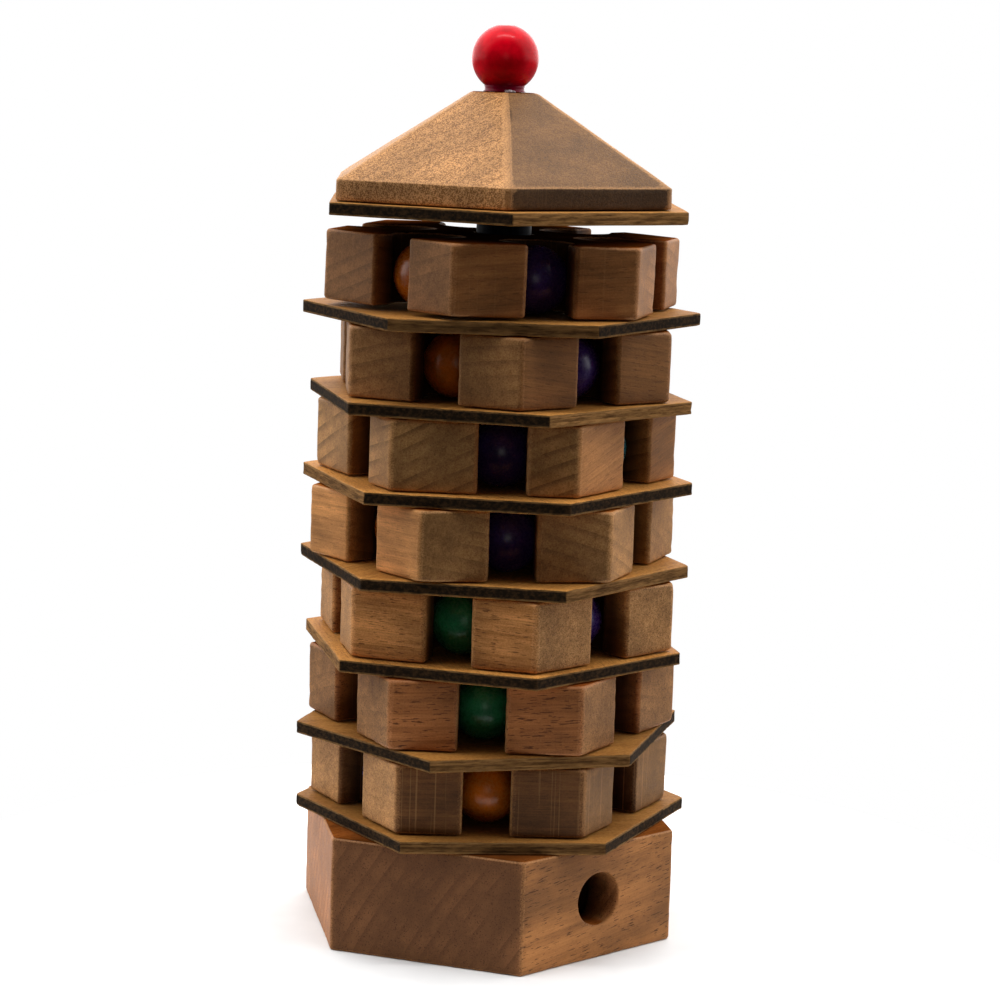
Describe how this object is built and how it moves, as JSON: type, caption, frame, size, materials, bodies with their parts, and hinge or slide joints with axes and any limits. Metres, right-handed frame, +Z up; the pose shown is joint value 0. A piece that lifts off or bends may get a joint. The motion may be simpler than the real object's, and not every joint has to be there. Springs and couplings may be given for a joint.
{
  "type": "rotating pagoda ball puzzle",
  "caption": "Hexagonal wooden pagoda puzzle: slotted rings of coloured balls and thin divider plates turn on a post between a base and a fixed peaked roof with a round red finial.",
  "frame": {"origin": "centre of the base's flat underside, on the central post's axis", "axes": "+Z up along the central post, -Y towards the viewer, +X to the viewer's right"},
  "size_m": [0.0968, 0.096, 0.2185],
  "materials": {
    "stained_hardwood": "walnut-brown stain under a thin matt varnish, long grain and end grain showing",
    "plywood": "stained thin plywood, satin, with dark burnt laser-cut edges",
    "dark_varnish": "near-black glossy varnish",
    "red_lacquer": "glossy red lacquer",
    "pale_wood": "bare wood, mostly hidden",
    "ball_orange": "semi-gloss lacquer",
    "ball_purple": "semi-gloss lacquer",
    "ball_green": "semi-gloss lacquer",
    "ball_red": "semi-gloss lacquer",
    "ball_blue": "semi-gloss lacquer",
    "ball_yellow": "semi-gloss lacquer",
    "ball_teal": "semi-gloss lacquer"
  },
  "bodies": {
    "frame": {"base_block": "stained_hardwood", "central_post": "dark_varnish", "roof_plate": "plywood", "roof_block": "stained_hardwood", "finial_knob": "red_lacquer", "finial_peg": "pale_wood"},
    "plate_1": {"plate_1": "plywood"},
    "rotor_1": {"rotor_1": "stained_hardwood", "ball_1_1": "ball_blue", "ball_1_2": "ball_orange", "ball_1_3": "ball_red", "ball_1_4": "ball_yellow", "ball_1_6": "ball_green"},
    "plate_2": {"plate_2": "plywood"},
    "rotor_2": {"rotor_2": "stained_hardwood", "ball_2_1": "ball_yellow", "ball_2_2": "ball_green", "ball_2_3": "ball_purple", "ball_2_4": "ball_red", "ball_2_5": "ball_orange", "ball_2_6": "ball_blue"},
    "plate_3": {"plate_3": "plywood"},
    "rotor_3": {"rotor_3": "stained_hardwood", "ball_3_1": "ball_red", "ball_3_2": "ball_green", "ball_3_3": "ball_purple", "ball_3_4": "ball_blue", "ball_3_6": "ball_yellow"},
    "plate_4": {"plate_4": "plywood"},
    "rotor_4": {"rotor_4": "stained_hardwood", "ball_4_1": "ball_orange", "ball_4_2": "ball_purple", "ball_4_3": "ball_green", "ball_4_4": "ball_red", "ball_4_5": "ball_yellow", "ball_4_6": "ball_blue"},
    "plate_5": {"plate_5": "plywood"},
    "rotor_5": {"rotor_5": "stained_hardwood", "ball_5_1": "ball_yellow", "ball_5_2": "ball_purple", "ball_5_3": "ball_teal", "ball_5_4": "ball_orange", "ball_5_5": "ball_red", "ball_5_6": "ball_green"},
    "plate_6": {"plate_6": "plywood"},
    "rotor_6": {"rotor_6": "stained_hardwood", "ball_6_1": "ball_teal", "ball_6_2": "ball_orange", "ball_6_3": "ball_purple", "ball_6_4": "ball_blue", "ball_6_5": "ball_teal", "ball_6_6": "ball_green"},
    "plate_7": {"plate_7": "plywood"},
    "rotor_7": {"rotor_7": "stained_hardwood", "ball_7_1": "ball_orange", "ball_7_2": "ball_purple", "ball_7_3": "ball_red", "ball_7_4": "ball_teal", "ball_7_5": "ball_blue", "ball_7_6": "ball_green"}
  },
  "joints": [
    {"name": "plate_1_turn", "type": "hinge", "parent": "frame", "child": "plate_1", "pos_m": [0, 0, 0.0293], "axis": [0, 0, 1], "continuous": true},
    {"name": "rotor_1_turn", "type": "hinge", "parent": "frame", "child": "rotor_1", "pos_m": [0, 0, 0.0394], "axis": [0, 0, 1], "continuous": true},
    {"name": "plate_2_turn", "type": "hinge", "parent": "frame", "child": "plate_2", "pos_m": [0, 0, 0.0495], "axis": [0, 0, 1], "continuous": true},
    {"name": "rotor_2_turn", "type": "hinge", "parent": "frame", "child": "rotor_2", "pos_m": [0, 0, 0.0596], "axis": [0, 0, 1], "continuous": true},
    {"name": "plate_3_turn", "type": "hinge", "parent": "frame", "child": "plate_3", "pos_m": [0, 0, 0.0697], "axis": [0, 0, 1], "continuous": true},
    {"name": "rotor_3_turn", "type": "hinge", "parent": "frame", "child": "rotor_3", "pos_m": [0, 0, 0.0798], "axis": [0, 0, 1], "continuous": true},
    {"name": "plate_4_turn", "type": "hinge", "parent": "frame", "child": "plate_4", "pos_m": [0, 0, 0.0899], "axis": [0, 0, 1], "continuous": true},
    {"name": "rotor_4_turn", "type": "hinge", "parent": "frame", "child": "rotor_4", "pos_m": [0, 0, 0.1], "axis": [0, 0, 1], "continuous": true},
    {"name": "plate_5_turn", "type": "hinge", "parent": "frame", "child": "plate_5", "pos_m": [0, 0, 0.1101], "axis": [0, 0, 1], "continuous": true},
    {"name": "rotor_5_turn", "type": "hinge", "parent": "frame", "child": "rotor_5", "pos_m": [0, 0, 0.1202], "axis": [0, 0, 1], "continuous": true},
    {"name": "plate_6_turn", "type": "hinge", "parent": "frame", "child": "plate_6", "pos_m": [0, 0, 0.1303], "axis": [0, 0, 1], "continuous": true},
    {"name": "rotor_6_turn", "type": "hinge", "parent": "frame", "child": "rotor_6", "pos_m": [0, 0, 0.1404], "axis": [0, 0, 1], "continuous": true},
    {"name": "plate_7_turn", "type": "hinge", "parent": "frame", "child": "plate_7", "pos_m": [0, 0, 0.1505], "axis": [0, 0, 1], "continuous": true},
    {"name": "rotor_7_turn", "type": "hinge", "parent": "frame", "child": "rotor_7", "pos_m": [0, 0, 0.1606], "axis": [0, 0, 1], "continuous": true}
  ]
}
